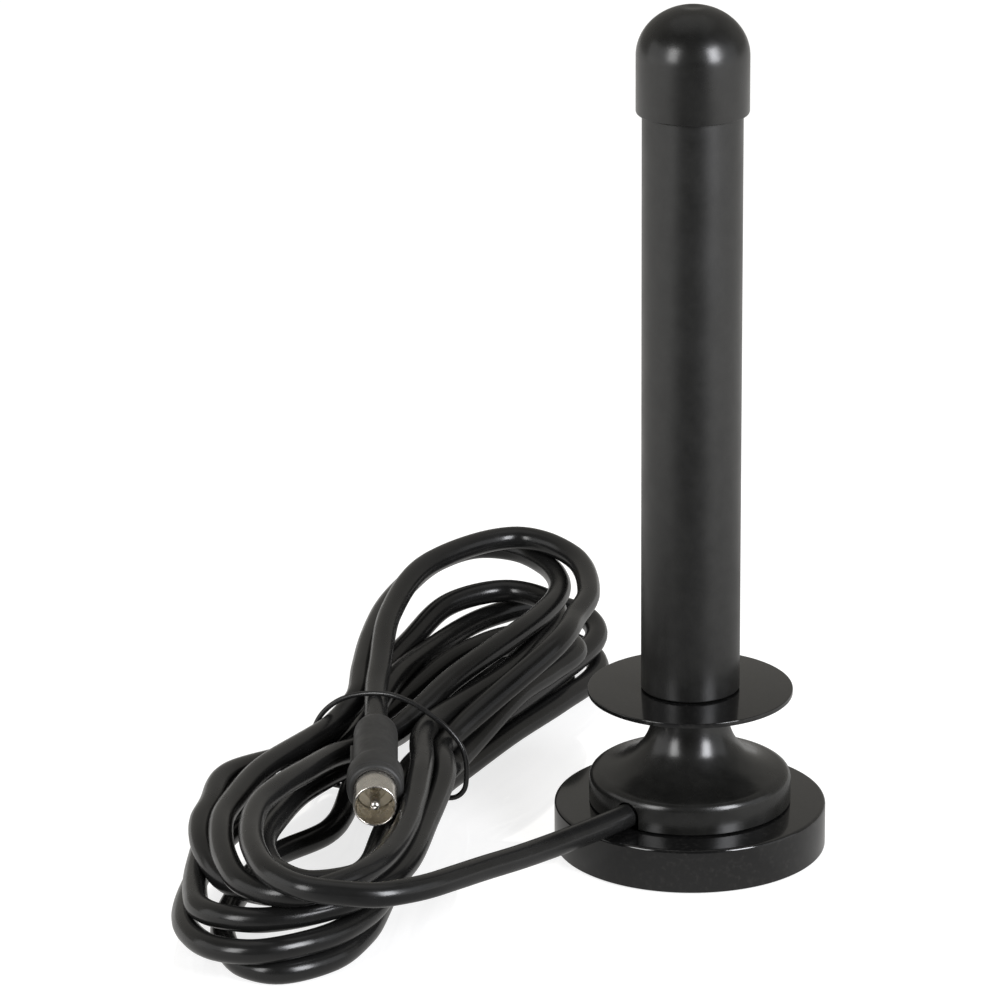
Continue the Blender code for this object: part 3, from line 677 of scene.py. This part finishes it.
def make_cord(plug_pieces):
    """The coaxial lead: one curve from the pedestal through the tied hank to the plug."""
    path = settle(cord_route())
    cord = tube("coax_cord", [tuple(p) for p in path], CORD_R, MATERIALS["cord_pvc"])
    stands_for(cord, "base", "cord_pvc", "cable_lead", "cable_hank")


def make_tie():
    """Plastic-coated wire round the waist of the hank, as one smooth closed loop."""
    loop = [in_tie(across, height) for across, height in TIE_LOOP]
    wrap = 3
    path = smooth_path(loop[-wrap:] + loop + loop[:wrap + 1], 0.7)
    start = min(range(len(path) // 3), key=lambda i: np.linalg.norm(path[i] - loop[0]))
    end = max(range(len(path) // 2, len(path)), key=lambda i: -np.linalg.norm(path[i] - loop[0]))
    tie = tube("tie_wire", [tuple(p) for p in path[start:end]], TIE_R, MATERIALS["tie_plastic"],
               cyclic=True, resolution=4)
    stands_for(tie, "base", "tie_plastic", "cable_tie")


# ---------------------------------------------------------------- plug

def plug_place():
    """Placement of the plug: local +Z runs back from its open face, and local Y is down."""
    return (Matrix.Translation(PLUG_FACE * MM) @ Matrix.Rotation(PLUG_YAW, 4, "Z")
            @ Matrix.Rotation(-math.pi / 2 + PLUG_DROOP, 4, "X"))


def make_plug():
    """Moulded grip with its pad, rolled nickel ferrule, insulator and pin; returns the pieces."""
    sleeve = FERRULE_SHOWS + 9.0
    bore = FERRULE_R + 0.05
    inner = FERRULE_R - FERRULE_WALL
    back = PLUG_LENGTH
    cord_hole = CORD_R + 0.05
    shoulder = [(cord_hole, back), (3.2, back), (3.7, back - 0.1), (4.2, back - 0.4), (4.6, back - 1.0),
                (4.85, back - 1.9), (4.95, back - 3.0)]
    waist = [(4.95, 22.0), (5.0, 20.6), (5.2, 19.2), (5.6, 18.1)]
    collar = [(6.0, 17.3), (6.25, 16.4), (6.3, 15.4), (6.3, 10.7), (6.22, 10.4), (6.02, 10.25),
              (5.98, 10.05), (6.15, 9.85), (6.2, 9.6), (6.15, 9.1), (5.95, 8.65), (5.6, FERRULE_SHOWS)]
    socket = [(bore + 0.15, FERRULE_SHOWS), (bore, FERRULE_SHOWS + 0.15), (bore, sleeve), (cord_hole, sleeve)]
    grip = turned("plug_moulding", shoulder + waist + collar + socket, MATERIALS["plug_rubber"], SMALL_ROUND,
                  closed=True, sharp=60.0)
    pad = rounded_box("plug_pad", (1.1, 2.6, 9.0), (-5.05, 0.6, 28.0), 0.4, MATERIALS["plug_rubber"])
    ferrule = turned("plug_ferrule",
                     [(FERRULE_R, sleeve - 0.1), (FERRULE_R, 0.3), (FERRULE_R - 0.06, 0.1),
                      (FERRULE_R - 0.2, 0.0), (inner + 0.12, 0.0), (inner + 0.03, 0.08), (inner, 0.25),
                      (inner, sleeve - 0.1)],
                     MATERIALS["nickel"], SMALL_ROUND, closed=True, sharp=60.0)
    seat = 8.6
    insulator = turned("plug_insert",
                       [(PIN_R + 0.9, seat + 0.5), (PIN_R + 1.1, seat), (inner - 0.5, seat),
                        (inner - 0.1, seat + 0.3), (inner - 0.1, sleeve - 1.0),
                        (PIN_R + 0.05, sleeve - 1.0), (PIN_R + 0.05, seat + 0.5)],
                       MATERIALS["plug_plastic"], SMALL_ROUND, closed=True)
    pin = turned("plug_contact",
                 [(0.0, sleeve + 2.0), (PIN_R, sleeve + 2.0), (PIN_R, 0.9), (PIN_R - 0.08, 0.35),
                  (PIN_R - 0.28, 0.0), (PIN_R - 0.55, -0.2), (0.4, -0.27), (0.25, -0.1), (0.0, 0.0)],
                 MATERIALS["nickel"], 48, sharp=60.0)
    pieces = [(grip, "plug_rubber", "plug_grip"), (ferrule, "nickel", "plug_shell"),
              (insulator, "plug_plastic", "plug_insulator"), (pin, "nickel", "plug_pin")]
    for piece, slot, name in pieces:
        piece.matrix_world = plug_place()
        stands_for(piece, "base", slot, name)
    pad.matrix_world = plug_place()
    stands_for(pad, "base", "plug_rubber")
    return [piece for piece, slot, name in pieces] + [pad]


def rounded_box(name, size, centre, radius, material):
    """A box with rounded edges, in the plug's own axes."""
    shape = bmesh.new()
    bmesh.ops.create_cube(shape, size=1.0)
    bmesh.ops.scale(shape, vec=metres(size), verts=shape.verts)
    bmesh.ops.bevel(shape, geom=shape.edges, offset=radius * MM, segments=4, profile=0.5, affect="EDGES")
    bmesh.ops.translate(shape, vec=metres(centre), verts=shape.verts)
    for face in shape.faces:
        face.smooth = True
    mesh = bpy.data.meshes.new(name)
    shape.to_mesh(mesh)
    shape.free()
    return link(name, mesh, material)


# ---------------------------------------------------------------- base, pedestal, disc and mast

def make_base():
    """Lacquered cup with a small edge radius, and the rubber pad with its grooves below."""
    inside_top = BASE_TOP - CUP_WALL
    inside_r = BASE_R - CUP_WALL
    cup = turned("base_shell",
                 rounded([(0.0, BASE_TOP), (BASE_R, BASE_TOP, 0.8), (BASE_R, BASE_FOOT, 0.25),
                          (inside_r, BASE_FOOT, 0.2), (inside_r, inside_top), (0.0, inside_top)], False, 6),
                 MATERIALS["base_gloss"], sharp=50.0)
    stands_for(cup, "base", "base_gloss", "base_cup")
    pad_r, pad_top, groove = 28.4, 1.0, 0.25
    section = [(0.0, pad_top), (pad_r, pad_top), (pad_r, 0.2), (pad_r - 0.2, 0.0)]
    for radius in (24.0, 17.0, 10.0):
        section += [(radius + 0.6, 0.0), (radius + 0.35, groove), (radius - 0.35, groove),
                    (radius - 0.6, 0.0)]
    pad = turned("foot_sheet", section + [(0.0, 0.0)], MATERIALS["foot_rubber"], sharp=30.0)
    stands_for(pad, "base", "foot_rubber", "foot_pad")


def make_pedestal():
    """Skirt and trumpet neck in one moulding, with a notch for the lead."""
    flare = [(p[0], p[2]) for p in smooth_path([(r, 0.0, z) for r, z in FLARE], 0.45)]
    inner, sharp = SKIRT_R - SKIRT_WALL, 35.0
    skirt = [(inner + 0.15, SKIRT_FOOT), (SKIRT_R - 0.2, SKIRT_FOOT), (SKIRT_R, SKIRT_FOOT + 0.2)]
    rim = [(NECK_R - 0.1, NECK_TOP - 0.1), (NECK_R - 0.4, NECK_TOP), (COUNTERBORE_R + 0.1, NECK_TOP)]
    inside = [(COUNTERBORE_R, NECK_TOP - 0.1), (COUNTERBORE_R, COUNTERBORE), (STUD_HOLE_R, COUNTERBORE),
              (STUD_HOLE_R, NUT_SEAT), (NUT_SEAT_R, NUT_SEAT), (NUT_SEAT_R, CAVITY_TOP),
              (inner, CAVITY_TOP), (inner, SKIRT_FOOT + 0.15)]
    pedestal = turned("pedestal_moulding", skirt + flare + rim + inside, MATERIALS["pedestal_plastic"],
                      closed=True, sharp=sharp)
    notch = notch_cutter()
    cut = pedestal.modifiers.new("notch", "BOOLEAN")
    cut.operation = "DIFFERENCE"
    cut.object = notch
    cut.solver = "EXACT"
    bpy.context.view_layer.update()
    mesh = bpy.data.meshes.new_from_object(pedestal.evaluated_get(bpy.context.evaluated_depsgraph_get()))
    pedestal.modifiers.clear()
    pedestal.data = mesh
    mesh.set_sharp_from_angle(angle=math.radians(sharp))
    bpy.data.objects.remove(notch)
    stands_for(pedestal, "base", "pedestal_plastic", "pedestal")


def notch_cutter():
    """The solid that cuts the lead's notch: round above and drawn down past the skirt's foot."""
    radius, through, drop = 3.0, 9.0, 4.0
    shape = bmesh.new()
    bmesh.ops.create_cone(shape, cap_ends=True, segments=48, radius1=radius * MM, radius2=radius * MM,
                          depth=through * MM, matrix=Matrix.Rotation(math.pi / 2, 4, "Y"))
    for corner in shape.verts:
        if corner.co.z < 0.0:
            corner.co.z -= drop * MM
    mesh = bpy.data.meshes.new("notch")
    shape.to_mesh(mesh)
    shape.free()
    notch = link("notch", mesh, None)
    notch.matrix_world = (Matrix.Rotation(math.radians(EXIT_ANGLE), 4, "Z")
                          @ Matrix.Translation(metres((SKIRT_R, 0.0, EXIT_Z))))
    return notch


def thread_relief(radius, height, turn):
    """Depth of the stud's screw thread: flat crests and roots with sloping flanks."""
    if abs(radius - STUD_R) > 0.01:
        return 0.0
    phase = (height / THREAD_PITCH - turn) % 1.0
    flank = abs(2.0 * phase - 1.0)
    return THREAD_DEPTH * min(max((flank - 0.15) / 0.7, 0.0), 1.0)


def make_stud():
    """Brass stud with a real M6 thread above and below its collar."""
    foot, top = STUD_Z
    collar_r, collar_low, collar_high, edge = 5.2, 32.2, 33.2, 0.15
    lead_in, lead_in_r = 0.5, STUD_R - 0.6
    step = THREAD_PITCH / 10
    below = int((collar_low - foot - lead_in) / step)
    above = int((top - lead_in - collar_high) / step)
    section = [(0.0, foot), (lead_in_r, foot)]
    section += [(STUD_R, foot + lead_in + step * i) for i in range(below)]
    section += [(collar_r - edge, collar_low), (collar_r, collar_low + edge),
                (collar_r, collar_high - edge), (collar_r - edge, collar_high)]
    section += [(STUD_R, collar_high + step * (i + 1)) for i in range(above)]
    section += [(lead_in_r, top), (0.0, top)]
    stud = turned("stud_threaded", section, MATERIALS["brass"], 72, sharp=50.0, relief=thread_relief)
    stands_for(stud, "base", "brass", "mast_stud")


def make_disc():
    """Thin ground disc with softened edges."""
    low, high = DISC_Z
    soft = 0.22
    disc = turned("disc_plate",
                  rounded([(DISC_R, high, soft), (DISC_R, low, soft), (DISC_HOLE_R, low),
                           (DISC_HOLE_R, high)], True, 5),
                  MATERIALS["disc_gloss"], closed=True, sharp=60.0)
    stands_for(disc, "disc", "disc_gloss", "ground_disc")


def make_sleeve():
    """Mast tube with softened ends."""
    foot, top = TUBE_Z
    bore = TUBE_R - TUBE_WALL
    sleeve = turned("mast_sleeve",
                    rounded([(TUBE_R, top, 0.2), (TUBE_R, foot, 0.35), (bore, foot, 0.2), (bore, top, 0.2)],
                            True, 5),
                    MATERIALS["mast_satin"], closed=True, sharp=60.0)
    stands_for(sleeve, "mast", "mast_satin", "mast_tube")


def make_cap():
    """Rounded cap with a shallow dimple on its crown."""
    dimple_r, dimple = 2.6, 0.3
    dome = arc((0.0, CAP_SHOULDER), CAP_R, 0, 76, 40, CAP_RISE)
    crown = CAP_SHOULDER + CAP_RISE
    dish = [(dimple_r, crown - dimple + 0.02), (dimple_r * 0.75, crown - dimple + 0.06),
            (dimple_r * 0.5, crown - dimple - 0.02), (0.0, crown - dimple - 0.08)]
    inside_rise = CAP_RISE - (CAP_R - CAP_BORE_R)
    inside = arc((0.0, CAP_SHOULDER), CAP_BORE_R, 0, 85, 17, inside_rise)
    rim = [(CAP_BORE_R, CAP_FOOT), (CAP_R - 0.35, CAP_FOOT), (CAP_R - 0.1, CAP_FOOT + 0.12),
           (CAP_R, CAP_FOOT + 0.4)]
    section = list(reversed(rim + dome + dish)) + inside + [(0.0, CAP_SHOULDER + inside_rise)]
    cap = turned("cap_shell", section, MATERIALS["cap_satin"], sharp=50.0)
    stands_for(cap, "mast", "cap_satin", "dome_cap")


def make_socket():
    """Turned brass socket with the rod's hole above, and the disc's spigot and the stud's bore below."""
    rod_hole, rod_seat, top = 1.8, 46.0, 49.0
    flange, chamfer = 9.3, 0.2
    spigot, groove, foot = 4.9, 4.3, 33.6
    groove_low, groove_high = 34.1, 35.5
    bore_top, mouth = 44.0, 0.3
    section = [(0.0, rod_seat), (rod_hole, rod_seat), (rod_hole, top), (flange - chamfer, top),
               (flange, top - chamfer), (flange, TUBE_Z[0]), (spigot, TUBE_Z[0]), (spigot, groove_high),
               (groove, groove_high), (groove, groove_low), (spigot, groove_low), (spigot, foot + chamfer),
               (spigot - chamfer, foot), (SOCKET_BORE_R + mouth, foot), (SOCKET_BORE_R, foot + mouth),
               (SOCKET_BORE_R, bore_top), (0.0, bore_top)]
    socket = turned("socket_turning", section, MATERIALS["brass"], SMALL_ROUND, sharp=35.0)
    stands_for(socket, "mast", "brass", "mast_socket")


# ---------------------------------------------------------------- stage

def floor_material():
    """White acrylic to the eye, with soft shadows and faint reflections.

    Other rays meet a pale sheet with light from below, except in a gap on the camera's side.
    """
    material = bpy.data.materials.new("floor_white")
    material.use_nodes = True
    material.cycles.emission_sampling = "NONE"
    links = material.node_tree.links
    material.node_tree.nodes.clear()
    glow = node(material, "ShaderNodeEmission", Color=(1.0, 1.0, 1.0, 1.0), Strength=FLOOR_GLOW)
    lit = node(material, "ShaderNodeBsdfDiffuse", Color=(*(FLOOR_LIT,) * 3, 1.0))
    mirror = node(material, "ShaderNodeBsdfGlossy", Color=(*(FLOOR_MIRROR,) * 3, 1.0), Roughness=0.03)
    seen = added_shaders(material, glow, lit, mirror)
    pale = node(material, "ShaderNodeBsdfDiffuse", Color=(*(FLOOR_BOUNCE,) * 3, 1.0))
    below = node(material, "ShaderNodeEmission", Color=(1.0, 0.985, 0.955, 1.0))
    links.new(light_from_below(material), below.inputs["Strength"])
    unseen = added_shaders(material, pale, below)
    rays = node(material, "ShaderNodeLightPath")
    mix = node(material, "ShaderNodeMixShader")
    output = node(material, "ShaderNodeOutputMaterial")
    links.new(rays.outputs["Is Camera Ray"], mix.inputs[0])
    links.new(unseen.outputs[0], mix.inputs[1])
    links.new(seen.outputs[0], mix.inputs[2])
    links.new(mix.outputs[0], output.inputs["Surface"])
    return material


def light_from_below(material):
    """Strength of the floor's light by the angle round the base and the distance from it."""
    links = material.node_tree.links
    place = node(material, "ShaderNodeTexCoord")
    split = node(material, "ShaderNodeSeparateXYZ")
    far = node(material, "ShaderNodeVectorMath")
    far.operation = "LENGTH"
    links.new(place.outputs["Object"], split.inputs[0])
    links.new(place.outputs["Object"], far.inputs[0])
    distance = far.outputs["Value"]
    toward_camera = math_node(material, "MULTIPLY", split.outputs["Y"], -1.0)
    turn = math_node(material, "ARCTAN2", split.outputs["X"], toward_camera)
    turn = math_node(material, "ABSOLUTE", math_node(material, "ADD", turn, GAP_OFFSET))
    gap = ranged(material, turn, *GAP_BY_ANGLE, smooth=True)
    reach = ranged(material, distance, *BELOW_BY_REACH)
    behind = ranged(material, turn, *BEHIND_BY_ANGLE)
    strength = math_node(material, "MULTIPLY", math_node(material, "MULTIPLY", gap, reach), behind)
    return math_node(material, "MAXIMUM", strength, ranged(material, distance, *LEAST_BY_REACH))


def make_world():
    """White backdrop to the eye; a soft studio, dim on the camera's side, to everything else."""
    world = bpy.data.worlds.new("studio")
    world.use_nodes = True
    tree = world.node_tree
    tree.nodes.clear()
    output = tree.nodes.new("ShaderNodeOutputWorld")
    mix = tree.nodes.new("ShaderNodeMixShader")
    rays = tree.nodes.new("ShaderNodeLightPath")
    plain = tree.nodes.new("ShaderNodeBackground")
    studio = tree.nodes.new("ShaderNodeBackground")
    place = tree.nodes.new("ShaderNodeTexCoord")
    split = tree.nodes.new("ShaderNodeSeparateXYZ")
    depth = tree.nodes.new("ShaderNodeMapRange")
    for name, value in zip(("From Min", "From Max", "To Min", "To Max"), STUDIO_DIRECTION + STUDIO_STRENGTH):
        depth.inputs[name].default_value = value
    links = tree.links
    links.new(place.outputs["Generated"], split.inputs[0])
    links.new(split.outputs["Y"], depth.inputs["Value"])
    links.new(depth.outputs["Result"], studio.inputs["Strength"])
    links.new(rays.outputs["Is Camera Ray"], mix.inputs[0])
    links.new(studio.outputs[0], mix.inputs[1])
    links.new(plain.outputs[0], mix.inputs[2])
    links.new(mix.outputs[0], output.inputs["Surface"])
    studio.inputs["Color"].default_value = STUDIO_TINT
    plain.inputs["Color"].default_value = (1.0, 1.0, 1.0, 1.0)
    plain.inputs["Strength"].default_value = 1.0
    bpy.context.scene.world = world


def softbox(name, side, height, distance, size, radiance, tint):
    """A rectangular light aimed at the mast; side is degrees to the right of the camera, seen from above."""
    aim = Vector(SOFTBOX_AIM)
    turn, lift = math.radians(side), math.radians(height)
    toward = Vector((math.sin(turn) * math.cos(lift), -math.cos(turn) * math.cos(lift), math.sin(lift)))
    data = bpy.data.lights.new(name, "AREA")
    data.shape = "RECTANGLE"
    data.size, data.size_y = size
    data.energy = radiance * math.pi * size[0] * size[1]
    data.color = tint
    light = bpy.data.objects.new(name, data)
    bpy.context.scene.collection.objects.link(light)
    light.matrix_world = (Matrix.Translation(aim + toward * distance)
                          @ toward.to_track_quat("Z", "Y").to_matrix().to_4x4())


def make_stage():
    """Pale floor and soft studio light."""
    mesh = bpy.data.meshes.new("floor")
    corners = [(x * FLOOR_REACH, y * FLOOR_REACH, 0.0) for x, y in ((-1, -1), (1, -1), (1, 1), (-1, 1))]
    mesh.from_pydata(corners, [], [(0, 1, 2, 3)])
    link("floor", mesh, floor_material())
    make_world()
    for box in SOFTBOXES:
        softbox(*box)
    bpy.context.scene.view_settings.view_transform = "Standard"


make_camera()
for part in frame["record"]["subparts"]:
    wear(part["material_slot"], part["node"])
make_base()
make_pedestal()
make_stud()
make_disc()
make_sleeve()
make_cap()
make_socket()
make_cord(make_plug())
make_tie()
make_stage()
